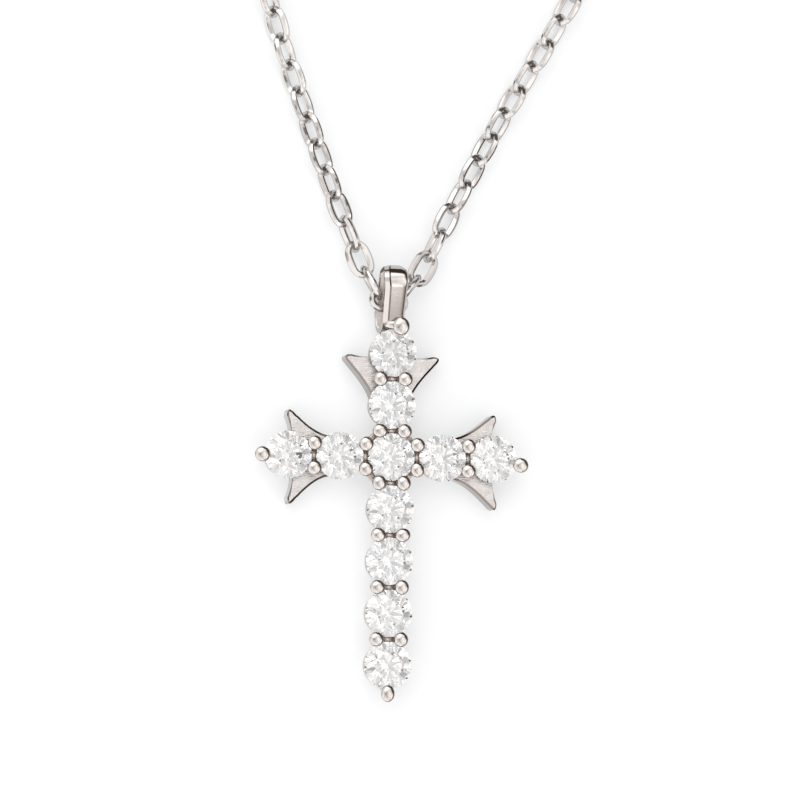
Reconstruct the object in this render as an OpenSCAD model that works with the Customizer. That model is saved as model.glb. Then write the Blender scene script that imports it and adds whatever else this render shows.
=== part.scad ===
// Cross pendant set with round stones, lying on its back with its fine cable chain laid out around it.
// X runs along the side arms, Y up the shaft to the bail, and Z is the height above the surface.
// The origin is on the flat back, under the centre stone.

/* [Stones] */
// Diameter of every round stone
stone_d = 2; // [1.8:0.05:2.4]
// Space between the edges of neighbouring stones
stone_gap = 0.17; // [0.12:0.01:0.3]
// Width of the flat table as a share of the diameter
table_share = 0.56; // [0.5:0.01:0.62]
// Height of the crown above the girdle
crown_h = 0.32; // [0.26:0.01:0.4]
// Thickness of the girdle
girdle_h = 0.06; // [0.04:0.01:0.1]
// Depth of the pavilion below the girdle
pavilion_h = 0.86; // [0.74:0.01:0.98]

/* [Setting] */
// Height of the stones' lowest points above the flat back
culet_lift = 0.34; // [0.2:0.02:0.6]
// Space between a stone and the metal around it
seat_gap = 0.03; // [0.02:0.005:0.04]
// How far a stone reaches out past the cup below it
stone_overhang = 0.14; // [0.1:0.01:0.2]
// How far the rim of a cup lies below the girdle
rim_drop = 0.2; // [0.16:0.01:0.3]
// Diameter of the light hole in the back of each cup
back_hole_d = 1.1; // [0.8:0.05:1.3]
// Width of the bar that joins two cups
bar_w = 0.7; // [0.5:0.05:0.9]
// How far the bar's top lies below the rims
bar_drop = 0.15; // [0.05:0.05:0.4]
// Thickness of the cross bar that joins two prongs
cross_bar_t = 0.36; // [0.3:0.02:0.46]

/* [Prongs] */
// Diameter of the ball on each prong
bead_d = 0.54; // [0.46:0.02:0.6]
// Diameter of the post under each ball
post_d = 0.42; // [0.36:0.02:0.44]
// Distance between the two balls of a pair
bead_spread = 1.06; // [0.9:0.02:1.2]
// Height of a ball's centre above the girdle
bead_rise = 0.13; // [0.08:0.01:0.18]
// Distance from a stone's edge to the ball at the end of its arm
end_bead_out = 0.17; // [0.12:0.01:0.22]
// Turn of the ball beside the bail away from the top arm
top_bead_turn = 21; // [15:1:35]

/* [Horns] */
// Thickness of the flat horns
horn_t = 0.92; // [0.6:0.02:0.95]
// Distance between the tips of a pair of horns
horn_span = 3.94; // [3.4:0.02:4.4]
// How far the tips of the side horns stop short of the end stone's centre
side_horn_back = 0.05; // [0:0.01:0.3]
// How far the tips of the top horns stop short of the end stone's centre
top_horn_back = 0.25; // [0:0.01:0.4]
// Distance along the arm from a horn's tip to its root
horn_run = 1.75; // [1.5:0.05:2]
// Distance of a horn's root from the middle of the arm
horn_root = 0.8; // [0.7:0.02:0.9]
// Depth of the hollow curve between the tip and the root
horn_hollow = 0.14; // [0.05:0.01:0.25]
// Width of the blunt tip
horn_tip = 0.12; // [0.08:0.01:0.2]

/* [Bail] */
// Width of the bail at its top
bail_w = 0.95; // [0.8:0.05:1.2]
// Width of the bail at its foot
bail_foot_w = 0.71; // [0.6:0.05:0.8]
// Thickness of the bail's strap
bail_t = 0.3; // [0.24:0.02:0.36]
// Depth of the bail at its top, from the back to the front
bail_depth = 2.3; // [2:0.1:2.8]
// Depth of the bail at its foot
bail_foot_depth = 1.5; // [1.3:0.05:1.7]
// Height of the bail above the top stone's edge
bail_rise = 2.64; // [2.4:0.1:3.2]
// Distance from the top stone's edge to the middle of the bail's foot
bail_foot_out = 0.41; // [0.35:0.02:0.6]

/* [Chain] */
// Length of a link over its outside
link_l = 1.7; // [1.66:0.01:1.8]
// Width of a link over its outside
link_w = 0.92; // [0.88:0.01:1]
// Thickness of the link's wire
wire_d = 0.2; // [0.16:0.01:0.22]
// Space between two links where they meet
link_gap = 0.14; // [0.12:0.01:0.16]
// Links modelled on each side beyond the four next to the bail
side_links = 20; // [9:1:40]
// Length of the laid-out loop, from the bail to its far end
loop_l = 170; // [155:1:190]
// Width of the laid-out loop
loop_w = 93; // [84:1:100]
// Roll of the links where the chain lies free
link_roll = 45; // [40:1:50]
// Thickness of the plain tube that stands for the rest of the chain
tube_d = 0.8; // [0.6:0.05:1]
// Space between the tube and the pieces at its ends
tube_gap = 0.15; // [0.1:0.05:0.3]

/* [Clasp] */
// Thickness of the clasp ring's body
clasp_t = 1; // [0.8:0.1:1.2]
// Outer diameter of the clasp ring
clasp_d = 5.4; // [5:0.1:7]
// Outer diameter of the small eye on the clasp
eye_d = 1.5; // [1.4:0.05:1.8]
// Thickness of the eye's wire
eye_t = 0.36; // [0.3:0.02:0.4]
// Outer diameter of the jump ring
jump_d = 2.8; // [2.7:0.1:3.4]
// Thickness of the jump ring's wire
jump_t = 0.4; // [0.3:0.05:0.45]
// Diameter of the knob that opens the clasp
knob_d = 0.8; // [0.6:0.1:0.9]

/* [Hidden] */

$fn = 64;
fine_fn = 48;
wide_fn = 180;

// How far a cut runs past the face it opens.
through_cut = 0.5;

metal = [0.82, 0.79, 0.77];
clear_stone = [0.95, 0.96, 0.98, 0.6];

// The stones stand on a square grid, so many along each arm.
stone_r = stone_d / 2;
pitch = stone_d + stone_gap;
up_stones = 2;
down_stones = 4;
side_stones = 2;
up = [0, 1];
down = [0, -1];
left = [-1, 0];
right = [1, 0];
arms = [[up, up_stones], [down, down_stones], [left, side_stones], [right, side_stones]];
stone_spots = [[0, 0], for (arm = arms) for (step = [1:arm[1]]) arm[0] * step * pitch];
// Turn of each stone in its seat, in the same order.
stone_turns = [4, 17, 31, 9, 24, 38, 13, 28, 6, 20, 35];
pair_spots = [for (arm = arms) for (step = [1:arm[1]]) [arm[0], (step - 0.5) * pitch]];
top_stone_y = up_stones * pitch;

// Heights above the flat back.
girdle_z = culet_lift + pavilion_h;
rim_z = girdle_z - rim_drop;
bead_z = girdle_z + girdle_h + bead_rise;

// A round stone is cut in eighths; star and lower points lie where the flat facets need them.
cut_steps = 8;
half_step = 180 / cut_steps;
table_r = table_share * stone_r;
star_share = 0.78;
lower_share = 0.22;
star_r = star_share * stone_r;
lower_r = lower_share * stone_r;
crown_slope = crown_h / (stone_r - table_r);
star_z = girdle_h + crown_h - (star_r * cos(half_step) - table_r) * crown_slope;
lower_z = lower_r * cos(half_step) * pavilion_h / stone_r - pavilion_h;

// The bail is a loop between a wide circle at its top and a small one at its foot.
bail_top_y = top_stone_y + stone_r + bail_rise;
bail_top_r = bail_depth / 2;
bail_foot_r = bail_foot_depth / 2;
bail_top_c = [bail_top_y - bail_top_r, bail_top_r];
bail_foot_c = [top_stone_y + stone_r + bail_foot_out, bail_foot_r];

link_pitch = link_l - 2 * wire_d - link_gap;
link_bend_r = (link_w - wire_d) / 2;
link_straight = link_l - link_w;

// Two links hook into each other where the end of one sits in the middle of the other's bend.
bend_out = link_straight / 2;
end_out = (link_l - wire_d) / 2;

// The link that lies flat in the bail, over its back strap: x, and y down from the bail's top.
through_x = -0.18;
through_y = -1.44;
through_heading = -12;

// The four links next to it on each side: heading, climb and roll.
left_hooks = [[118.5, -12, 90], [111, -8, 8], [113, -4, 107], [112, -2, 26]];
right_hooks = [[52, -12, 90], [61, -8, 8], [65, -4, 107], [64, -2, 27]];

// Route of the chain from the right of the bail round to its left. The near rows are measured from
// the bail's top: x, y and roll of the links. The far rows are shares of the loop's width and length.
near_right = [[4.4, 6.1, 42], [7.1, 10.8, link_roll], [14, 23, link_roll]];
far_shares = [
    [0.258, 0.235], [0.376, 0.347], [0.495, 0.471], [0.591, 0.6], [0.624, 0.724], [0.581, 0.841],
    [0.462, 0.935], [0.29, 0.988], [0.097, 1], [-0.097, 0.971], [-0.258, 0.9], [-0.349, 0.8],
    [-0.376, 0.682], [-0.344, 0.559], [-0.28, 0.429], [-0.204, 0.3], [-0.134, 0.188]
];
near_left = [[-8, 19, link_roll], [-5.3, 10.8, link_roll], [-4.4, 8.1, 42], [-3.05, 4.4, 35]];
chain_route = concat(
    near_right,
    [for (share = far_shares) [share[0] * loop_w, share[1] * loop_l, link_roll]],
    near_left
);

// The clasp sits this share of the way round.
clasp_share = 0.5;

function ahead(turn, climb) = [cos(turn) * cos(climb), sin(turn) * cos(climb), sin(climb)];

// Places of the hooked links, each from the one before it; the first lies flat and the next stands.
function hooked(hooks, at, turn, climb, standing = true, i = 0) =
    i == len(hooks) ? [] :
    let (
        here = standing ? [bend_out, bend_out, end_out] : [end_out, end_out, bend_out],
        there = standing ? [end_out, end_out, bend_out] : [bend_out, bend_out, end_out],
        step_back = ahead(turn, climb),
        step_on = ahead(hooks[i][0], hooks[i][1]),
        next = [for (c = [0:2]) at[c] + here[c] * step_back[c] + there[c] * step_on[c]]
    )
    concat([next], hooked(hooks, next, hooks[i][0], hooks[i][1], !standing, i + 1));
through_at = [through_x, bail_top_y + through_y, bail_t + link_gap + link_w / 2];
left_places = hooked(left_hooks, through_at, through_heading + 180, 0);
right_places = hooked(right_hooks, through_at, through_heading, 0);

// The route runs from the last hooked link on the right to the last one on the left.
function end_row(places, hooks) =
    let (last = len(places) - 1) [places[last][0], places[last][1] - bail_top_y, hooks[last][2]];
rows = concat([end_row(right_places, right_hooks)], chain_route, [end_row(left_places, left_hooks)]);

// Points on the smooth curve through the route, so many to each span.
route_steps = 8;
function curve(a, b, c, d, t) =
    (2 * b + (c - a) * t + (2 * a - 5 * b + 4 * c - d) * t * t + (3 * b - a - 3 * c + d) * t * t * t) / 2;
function row(i) = rows[max(0, min(len(rows) - 1, i))];
route = [
    for (i = [0:len(rows) - 2])
        for (t = [0:1 / route_steps:1 - 1 / route_steps])
            curve(row(i - 1), row(i), row(i + 1), row(i + 2), t),
    row(len(rows) - 1)
];
function leg(i) =
    i + 1 < len(route) ? norm([route[i + 1][0] - route[i][0], route[i + 1][1] - route[i][1]]) : 0;
route_run = [for (run = 0, i = 0; i < len(route); run = run + leg(i), i = i + 1) run];
columns = [for (c = [0:2]) [for (i = [0:len(route) - 1]) [route_run[i], route[i][c]]]];
route_l = route_run[len(route) - 1];

// Place of a link after a given run along the route, as high as its standing neighbour holds it.
function roll(run) = lookup(run, columns[2]);
function place(run) = [
    lookup(run, columns[0]),
    lookup(run, columns[1]) + bail_top_y,
    link_bend_r * cos(roll(run)) + wire_d / 2
];
function heading(run) =
    let (step = place(run + link_pitch / 2) - place(run - link_pitch / 2)) atan2(step[1], step[0]);

clasp_run = clasp_share * route_l;
clasp_ring_r = (clasp_d - clasp_t) / 2;
eye_r = (eye_d - eye_t) / 2;
jump_r = (jump_d - jump_t) / 2;
eye_out = (clasp_d + eye_d - eye_t) / 2;
jump_out = clasp_ring_r;
// The clasp lies on the jump ring's wire at one side and on the surface at the other.
clasp_lift = jump_t + link_gap;
clasp_tilt = asin(clasp_lift / (2 * clasp_ring_r));
clasp_z = (clasp_t + clasp_lift) / 2;

// Half the outline of a stone, from its lowest point up to its table.
module stone_outline() {
    polygon([
        [0, -pavilion_h],
        [lower_r, lower_z],
        [stone_r, 0],
        [stone_r, girdle_h],
        [star_r, star_z],
        [table_r, girdle_h + crown_h],
        [0, girdle_h + crown_h]
    ]);
}

// Room for a stone in the metal, a little larger all round.
module seat() {
    translate([0, 0, girdle_z])
        scale(1 + seat_gap / stone_r)
            rotate_extrude()
                stone_outline();
}

// Points of one level of a cut stone, starting half a step round where asked.
function level(r, z, count, start) =
    [for (i = [0:count - 1]) [r * cos(start + i * 360 / count), r * sin(start + i * 360 / count), z]];

// A round brilliant with its girdle's underside at height 0.
module brilliant() {
    n = cut_steps;
    table = 0;
    stars = n;
    girdle_top = 2 * n;
    girdle_low = 4 * n;
    lower = 6 * n;
    point = 7 * n;
    points = concat(
        level(table_r, girdle_h + crown_h, n, 0),
        level(star_r, star_z, n, half_step),
        level(stone_r, girdle_h, 2 * n, 0),
        level(stone_r, 0, 2 * n, 0),
        level(lower_r, lower_z, n, half_step),
        [[0, 0, -pavilion_h]]
    );
    faces = concat(
        [[for (i = [n - 1:-1:0]) table + i]],
        [for (i = [0:n - 1]) let (j = (i + 1) % n)
            each [
                [table + i, table + j, stars + i],
                [table + j, stars + j, girdle_top + 2 * j, stars + i],
                [stars + i, girdle_top + 2 * i + 1, girdle_top + 2 * i],
                [stars + i, girdle_top + 2 * j, girdle_top + 2 * i + 1],
                [lower + i, girdle_low + 2 * i, girdle_low + 2 * i + 1],
                [lower + i, girdle_low + 2 * i + 1, girdle_low + 2 * j],
                [point, lower + i, girdle_low + 2 * j, lower + j]
            ]],
        [for (i = [0:2 * n - 1]) let (j = (i + 1) % (2 * n))
            [girdle_top + i, girdle_top + j, girdle_low + j, girdle_low + i]]
    );
    polyhedron(points, faces);
}

// The stone at one of the spots, with its own turn.
module stone(i) {
    color(clear_stone)
        translate([stone_spots[i][0], stone_spots[i][1], girdle_z])
            rotate([0, 0, stone_turns[i]])
                brilliant();
}

// A post with its ball.
module prong() {
    cylinder(d = post_d, h = bead_z);
    translate([0, 0, bead_z])
        sphere(d = bead_d);
}

// The ball prong beyond the last stone of an arm, on its own short bar.
module end_prong(arm, steps, turn = 0) {
    translate([arm[0] * steps * pitch, arm[1] * steps * pitch, 0])
        rotate([0, 0, atan2(arm[1], arm[0]) + turn]) {
            translate([0, -post_d / 2, 0])
                cube([stone_r + end_bead_out, post_d, rim_z]);
            translate([stone_r + end_bead_out, 0, 0])
                prong();
        }
}

// The bars and the two prongs between two cups, with the cups at either side along X.
module pair() {
    translate([-pitch / 2, -bar_w / 2, 0])
        cube([pitch, bar_w, rim_z - bar_drop]);
    translate([-cross_bar_t / 2, -bead_spread / 2, 0])
        cube([cross_bar_t, bead_spread, rim_z]);
    for (side = [-1, 1])
        translate([0, side * bead_spread / 2, 0])
            prong();
}

// One horn beside an arm of so many stones along X, its tip stopping short of the end stone by back.
module horn(steps, back) {
    tip_x = steps * pitch - back;
    tip_y = horn_span / 2;
    root = [tip_x - horn_run, horn_root];
    corner = [tip_x - horn_tip, tip_y];
    chord = norm(corner - root);
    hollow_r = (chord * chord / 4 + horn_hollow * horn_hollow) / (2 * horn_hollow);
    outward = [root[1] - corner[1], corner[0] - root[0]] / chord;
    linear_extrude(horn_t)
        difference() {
            polygon([
                [root[0], 0], root, corner, [tip_x, tip_y - horn_tip],
                [tip_x - horn_tip, stone_r], [tip_x - horn_tip, 0]
            ]);
            translate((root + corner) / 2 + outward * (hollow_r - horn_hollow))
                circle(hollow_r, $fn = wide_fn);
        }
}

module horn_pair(arm, steps, back) {
    rotate([0, 0, atan2(arm[1], arm[0])]) {
        horn(steps, back);
        mirror([0, 1, 0])
            horn(steps, back);
    }
}

// The loop of the bail from the side, smaller all round by inset.
module bail_loop(inset) {
    hull() {
        translate(bail_top_c)
            circle(bail_top_r - inset);
        translate(bail_foot_c)
            circle(bail_foot_r - inset);
    }
}

module bail() {
    intersection() {
        rotate([90, 0, 90])
            linear_extrude(bail_w, center = true)
                difference() {
                    bail_loop(0);
                    bail_loop(bail_t);
                }
        linear_extrude(bail_depth)
            polygon([
                [-bail_foot_w / 2, top_stone_y], [bail_foot_w / 2, top_stone_y],
                [bail_foot_w / 2, bail_foot_c[1]], [bail_w / 2, bail_top_c[0]],
                [bail_w / 2, bail_top_y], [-bail_w / 2, bail_top_y],
                [-bail_w / 2, bail_top_c[0]], [-bail_foot_w / 2, bail_foot_c[1]]
            ]);
    }
}

// The whole metal part: cups, bars, prongs, horns and bail in one casting.
module cross_setting() {
    color(metal)
        difference() {
            union() {
                for (spot = stone_spots)
                    translate(spot)
                        cylinder(r = stone_r - stone_overhang, h = rim_z);
                for (row = pair_spots)
                    rotate([0, 0, atan2(row[0][1], row[0][0])])
                        translate([row[1], 0, 0])
                            pair();
                end_prong(up, up_stones, -top_bead_turn);
                end_prong(down, down_stones);
                end_prong(left, side_stones);
                end_prong(right, side_stones);
                horn_pair(up, up_stones, top_horn_back);
                horn_pair(left, side_stones, side_horn_back);
                horn_pair(right, side_stones, side_horn_back);
                bail();
            }
            for (spot = stone_spots)
                translate(spot) {
                    seat();
                    translate([0, 0, -through_cut])
                        cylinder(d = back_hole_d, h = girdle_z + through_cut);
                }
        }
}

// One link lying flat, its length along X.
module link() {
    for (side = [-1, 1]) {
        translate([0, side * link_bend_r, 0])
            rotate([0, 90, 0])
                cylinder(d = wire_d, h = link_straight, center = true, $fn = fine_fn);
        rotate([0, 0, 90 * side - 90])
            translate([link_straight / 2, 0, 0])
                rotate([0, 0, -90])
                    rotate_extrude(angle = 180, $fn = fine_fn)
                        translate([link_bend_r, 0])
                            circle(d = wire_d, $fn = fine_fn);
    }
}

// A link set at a place, turned, pitched and rolled.
module set_link(at, turn, climb, roll) {
    translate(at)
        rotate([0, 0, turn])
            rotate([0, -climb, 0])
                rotate([roll, 0, 0])
                    link();
}

module hooked_links(places, hooks) {
    for (i = [0:len(hooks) - 1])
        set_link(places[i], hooks[i][0], hooks[i][1], hooks[i][2]);
}

// A link on the route, flat or standing against its neighbours, rolled one way or the other.
module route_link(run, way, standing) {
    set_link(place(run), heading(run), 0, way * roll(run) + 90 * standing);
}

module chain_left() {
    color(metal) {
        set_link(through_at, through_heading, 0, 0);
        hooked_links(left_places, left_hooks);
        for (i = [1:side_links])
            route_link(route_l - i * link_pitch, -1, i % 2);
    }
}

module chain_right() {
    color(metal) {
        hooked_links(right_places, right_hooks);
        for (i = [1:side_links])
            route_link(i * link_pitch, 1, i % 2);
    }
}

// A plain tube along the route between two runs, resting on the surface.
tube_sides = 8;
tube_rings = 39;
module tube(from, to) {
    sides = tube_sides;
    rings = tube_rings;
    points = [
        for (i = [0:rings - 1])
            let (run = from + (to - from) * i / (rings - 1), at = place(run), turn = heading(run))
                for (k = [0:sides - 1])
                    [
                        at[0] - sin(turn) * cos(k * 360 / sides) * tube_d / 2,
                        at[1] + cos(turn) * cos(k * 360 / sides) * tube_d / 2,
                        (1 + sin(k * 360 / sides)) * tube_d / 2
                    ]
    ];
    faces = concat(
        [[for (k = [0:sides - 1]) k]],
        [for (i = [0:rings - 2]) for (k = [0:sides - 1]) let (next = (k + 1) % sides)
            [i * sides + k, (i + 1) * sides + k, (i + 1) * sides + next, i * sides + next]],
        [[for (k = [sides - 1:-1:0]) (rings - 1) * sides + k]]
    );
    color(metal)
        polyhedron(points, faces);
}

links_end = side_links * link_pitch + link_l / 2 + tube_gap;

module chain_back_right() {
    tube(links_end, clasp_run - jump_out - jump_d / 2 - tube_gap);
}

module chain_back_left() {
    tube(clasp_run + eye_out + eye_d / 2 + tube_gap, route_l - links_end);
}

// Moves a piece to the clasp's place, with X along the route.
module at_clasp() {
    translate([place(clasp_run)[0], place(clasp_run)[1], 0])
        rotate([0, 0, heading(clasp_run)])
            children();
}

module ring(r, t) {
    rotate_extrude($fn = wide_fn)
        translate([r, 0])
            circle(d = t);
}

// The clasp ring with its eye and knob, tilted where it rests on the jump ring.
module clasp() {
    color(metal)
        at_clasp()
            translate([0, 0, clasp_z])
                rotate([0, clasp_tilt, 0]) {
                    ring(clasp_ring_r, clasp_t);
                    translate([eye_out, 0, 0])
                        ring(eye_r, eye_t);
                    translate([0, clasp_ring_r, 0])
                        rotate([-90, 0, 0])
                            cylinder(d = knob_d, h = clasp_t);
                }
}

module jump_ring() {
    color(metal)
        at_clasp()
            translate([-jump_out, 0, jump_d / 2])
                rotate([90, 0, 0])
                    ring(jump_r, jump_t);
}

cross_setting();
stone(0);  // stone_centre
stone(1);  // stone_up_1
stone(2);  // stone_up_2
stone(3);  // stone_down_1
stone(4);  // stone_down_2
stone(5);  // stone_down_3
stone(6);  // stone_down_4
stone(7);  // stone_left_1
stone(8);  // stone_left_2
stone(9);  // stone_right_1
stone(10);  // stone_right_2
chain_left();
chain_right();
chain_back_left();
chain_back_right();
clasp();
jump_ring();
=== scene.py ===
"""Cross pendant set with round stones, lying on its back with its fine cable chain laid out around it.

Builds the fine metalwork, the chain links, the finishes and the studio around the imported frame.
Sizes in the settings are in metres; meshes are shaped in millimetres and scaled once at the end.
"""

import random
from math import acos, asin, atan2, cos, degrees, hypot, pi, radians, sin, sqrt

import bmesh
import bpy
from bpy.props import FloatProperty, FloatVectorProperty, PointerProperty
from mathutils import Matrix, Vector


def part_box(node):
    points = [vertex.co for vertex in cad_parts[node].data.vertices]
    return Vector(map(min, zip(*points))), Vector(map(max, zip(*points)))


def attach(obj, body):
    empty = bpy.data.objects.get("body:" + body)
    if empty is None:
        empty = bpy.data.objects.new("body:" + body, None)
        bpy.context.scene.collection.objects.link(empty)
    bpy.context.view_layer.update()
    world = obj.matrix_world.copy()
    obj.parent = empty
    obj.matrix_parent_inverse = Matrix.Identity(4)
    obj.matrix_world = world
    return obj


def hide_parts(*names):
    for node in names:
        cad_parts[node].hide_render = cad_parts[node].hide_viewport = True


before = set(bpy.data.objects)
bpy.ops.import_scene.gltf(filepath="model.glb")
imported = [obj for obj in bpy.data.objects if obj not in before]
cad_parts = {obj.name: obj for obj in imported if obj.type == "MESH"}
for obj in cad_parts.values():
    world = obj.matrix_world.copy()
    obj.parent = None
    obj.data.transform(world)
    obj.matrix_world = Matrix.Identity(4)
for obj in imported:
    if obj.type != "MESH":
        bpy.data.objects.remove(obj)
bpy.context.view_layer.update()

bl_info = {
    "name": "Cross pendant on a cable chain",
    "version": (1, 0, 0),
    "blender": (4, 5, 0),
    "location": "3D View > Sidebar > Pendant",
    "description": "Builds the metalwork, stones, chain and studio of a small cross pendant",
    "category": "Object",
}

MM = 0.001
BODY = "root"

STONES = sorted(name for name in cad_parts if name.startswith("stone_"))
ARMS = {"up": (0, 1), "down": (0, -1), "left": (-1, 0), "right": (1, 0)}
# The cross is filed by hand: how far each horn's tip is off its even place, along its arm and out from it,
# first for the horn on the arm's left as seen from the centre.
TIP_SHIFTS = {
    "up": ((0.06, 0.05), (0.03, 0.08)),
    "left": ((-0.08, 0.12), (0, -0.02)),
    "right": ((0.1, -0.06), (0.17, 0.19)),
}
# Turn of each arm's end ball about the end stone, in degrees, how far it sits in over the stone, and its
# size against the other balls'.
END_BEADS = {"up": (-15, 0, 1.2), "down": (0, 0, 1.05), "left": (0, 0.06, 1.05), "right": (-11, 0.02, 1.05)}


def box_mm(node):
    """The low and the high corner of one of the frame's nodes, in millimetres."""
    return [Vector(corner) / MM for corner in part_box(node)]


def seat_of(stone):
    low, high = box_mm(stone)
    return (low + high) / 2


# The stones' places as the frame holds them, and the sizes that follow from the frame, in millimetres.
SEATS = {name: seat_of(name) for name in STONES}
PITCH = (SEATS["stone_up_1"] - SEATS["stone_centre"]).length
STONE_LOW, STONE_HIGH = box_mm("stone_centre")
STONE_R = (STONE_HIGH - STONE_LOW).x / 2
STEPS = {arm: sum(name.startswith("stone_" + arm) for name in STONES) for arm in ARMS}
BAIL_TOP_Y = box_mm("cross_setting")[1].y
# Each arm with its direction, its turn from X and its number of stones.
ARM_STEPS = [(arm, Vector(way), atan2(way[1], way[0]), STEPS[arm]) for arm, way in ARMS.items()]

# Small sizes of the casting, in millimetres where they are no shares.
# Stones: depth below the girdle.
PAVILION_H = 0.86
# Cups: width of the rounded edges, and room between a seat and its stone.
CUP_EDGE = 0.03
SEAT_GAP = 0.05
# Bars: share of the way between two stones that they bridge, and width of their rounded edges.
BAR_SHARE = 0.35
BAR_EDGE = 0.03
# Bridges between two prongs: width of their rounded edges, and radius of the lump on each.
BRIDGE_EDGE = 0.08
LUMP_R = 0.2
# Webs beside the centre stone and brackets under the end balls: length, width and height of each, width of
# their rounded edges, how far below the rims they start, how far in the webs stand, and how far from the end
# stones' middles the brackets stand.
WEB = (0.24, 0.66, 0.42)
BRACKET = (0.3, 0.3, 0.4)
BLOCK_EDGE = 0.05
BLOCK_DROP = 0.4
WEB_IN = 0.02
BRACKET_OUT = 1.0
# Balls: height above and below their middle, as shares of a sphere's.
BALL_ABOVE = 0.42
BALL_BELOW = 0.65
# Posts: how far their feet stand in from the balls, for a pair and at an arm's end.
PAIR_LEAN = 0.22
END_LEAN = 0.2
# Horns: how far they reach into the cups' walls, hollow of their end edge, how far their root keeps from
# the hollow side, and height of their bevel as a share of its width.
HORN_IN_WALL = 0.04
HORN_END_HOLLOW = 0.05
HORN_ROOT_GAP = 0.03
BEVEL_RISE = 0.78
# Bail's strap: its small corners, width and depth of its groove and of its round right edge, and depth of
# the bevel's outer edge as a share of its width.
STRAP_CORNER = 0.04
GROOVE = (0.06, 0.07)
RIGHT_ROUND = (0.24, 0.12)
BEVEL_DEPTH = 0.32
# Bail's crown: the run over which the strap draws in, and how far it does on its left and on its right.
CROWN_RUN = 0.35
CROWN_LEFT = 0.06
CROWN_RIGHT = 0.16
# Bail's back: how much wider it is on the left at the surface, and the height at which that ends.
BACK_WIDER = 0.26
BACK_TOP = 1.7
# Bail's foot: how far it stands to the right, how far left of that the top is, and how far the groove opens.
FOOT_SHIFT = 0.05
TOP_SHIFT = 0.15
GROOVE_OPENS = 0.05
# Bail's finishes: how far below the crown's bend its inside is looked at from, and run of its shoulder with
# painted shade.
MIDDLE_DROP = 0.5
SHOULDER_RUN = 1.4


def length(name, about, value):
    """A length in metres, given here in millimetres."""
    return FloatProperty(name=name, description=about, default=value * MM, unit="LENGTH", precision=5)


def share(name, about, value):
    return FloatProperty(name=name, description=about, default=value, min=0, max=1, subtype="FACTOR")


def angle(name, about, value):
    """An angle in radians, given here in degrees."""
    return FloatProperty(name=name, description=about, default=radians(value), subtype="ANGLE")


def tint(name, about, value):
    return FloatVectorProperty(name=name, description=about, default=value, subtype="COLOR", min=0, max=1)


def number(name, about, value):
    return FloatProperty(name=name, description=about, default=value)


class CastingSizes(bpy.types.PropertyGroup):
    """Sizes of the metal that holds the stones."""

    cup_r: length("Cup radius", "Radius of the cup under each stone", 0.86)
    rim_z: length("Rim height", "Height of the cups' rims above the back", 1.0)
    hole_r: length("Light hole radius", "Radius of the hole in the back of each cup", 0.55)
    bar_w: length("Bar width", "Width of the bar that joins two cups", 0.7)
    bar_top: length("Bar height", "Height of the bar's top", 0.85)
    cross_bar_t: length("Cross bar", "Thickness of the bar that joins two prongs", 0.36)
    bead_d: length("Bead", "Diameter of the ball on each prong", 0.61)
    post_d: length("Post", "Diameter of the post under each ball", 0.37)
    bead_spread: length("Bead spread", "Distance between the two balls of a pair", 1.04)
    bead_z: length("Bead height", "Height of the balls' centres", 1.42)
    end_bead_out: length("End bead", "Distance from a stone's edge to its end ball", 0.17)
    horn_t: length("Horn thickness", "Thickness of the flat horns", 0.98)
    horn_span: length("Horn span", "Distance between the tips of a pair of horns", 4.32)
    side_horn_back: length("Side horn", "How far the side horns stop short of the end stone", -0.04)
    top_horn_back: length("Top horn", "How far the top horns stop short of the end stone", 0.13)
    horn_run: length("Horn run", "Distance along the arm from a horn's tip to its root", 1.9)
    side_horn_root: length("Side horn root", "Distance of a side horn's root from the arm's middle", 0.84)
    top_horn_root: length("Top horn root", "Distance of a top horn's root from the arm's middle", 0.78)
    side_horn_hollow: number("Side horn hollow", "Power of a side horn's hollow side", 1.75)
    top_horn_hollow: number("Top horn hollow", "Power of a top horn's hollow side", 1.45)
    horn_blunt: length("Horn tip", "Rounding of the horns' tips", 0.5)
    side_horn_lean: length("Side horn lean", "How far a side horn's end edge draws back at the stone", 0.2)
    top_horn_lean: length("Top horn lean", "How far a top horn's end edge draws back at the stone", 0.06)
    horn_edge: length("Horn bevel", "Width of the bevel round the horns' faces", 0.09)
    bail_w: length("Bail width", "Width of the bail at its top", 1.0)
    bail_foot_w: length("Bail foot width", "Width of the bail at its foot", 0.79)
    bail_t: length("Bail strap", "Thickness of the bail's strap", 0.3)
    bail_depth: length("Bail depth", "Depth of the bail at its top", 2.42)
    bail_crown_r: length("Bail crown", "Radius of the bend at the bail's top", 0.6)
    bail_foot_depth: length("Bail foot depth", "Depth of the bail at its foot", 1.2)
    bail_foot_out: length("Bail foot", "Distance from the top stone's edge to the bail's foot", 0.41)
    bail_edge: length("Bail bevel", "Width of the bevel along the bail's left edge", 0.19)


class ChainSizes(bpy.types.PropertyGroup):
    """Sizes of the chain and of the frame's route that it follows."""

    pitch: length("Pitch", "Distance between the middles of two links", 1.16)
    link_w: length("Link width", "Width of a link over its outside, at its ends", 0.92)
    belly: length("Link belly", "How far each side of a link bulges", 0.1)
    wire_w: length("Wire width", "Thickness of the wire in the link's plane", 0.262)
    wire_h: length("Wire height", "Thickness of the wire across the link's plane", 0.28)
    frame_wire: length("Frame wire", "Wire thickness of the frame's own links", 0.2)
    frame_link: length("Frame link", "Length of the frame's own links", 1.7)
    loop_w: length("Loop width", "Width of the laid-out loop", 93)
    loop_l: length("Loop length", "Length of the laid-out loop from the bail", 170)


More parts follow.
